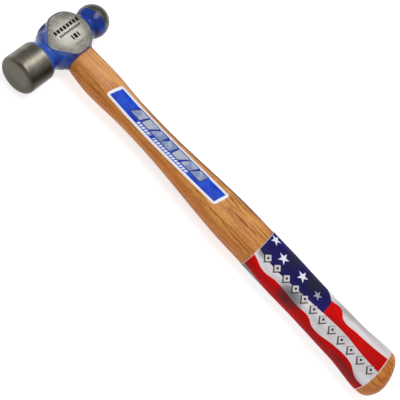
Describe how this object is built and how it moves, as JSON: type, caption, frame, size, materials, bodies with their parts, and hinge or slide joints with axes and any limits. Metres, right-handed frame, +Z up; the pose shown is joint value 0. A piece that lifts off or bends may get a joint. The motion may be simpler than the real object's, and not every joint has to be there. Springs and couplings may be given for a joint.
{
  "type": "ball peen hammer",
  "caption": "Small ball peen hammer: forged steel head with a round face, painted neck and bare cheeks, on a curved hickory handle with a slanted label and a flag-patterned grip sleeve",
  "frame": {"origin": "middle of the lower cheek, under the centre of the eye", "axes": "+X runs down the handle to the butt, +Y points at the ball, +Z is up, square to the cheeks; the hammer lies on its side"},
  "size_m": [0.2339, 0.0614, 0.0207],
  "materials": {
    "head_steel": "ground steel, with blue enamel round the eye, neck and ball",
    "hickory": "lacquered hickory",
    "wedge_wood": "raw end grain",
    "wedge_steel": "rough steel",
    "label_film": "printed gloss film",
    "sleeve_film": "printed satin film"
  },
  "bodies": {
    "root": {"head": "head_steel", "handle": "hickory", "wood_wedge": "wedge_wood", "steel_wedge": "wedge_steel", "label": "label_film", "grip_sleeve": "sleeve_film"}
  },
  "joints": []
}
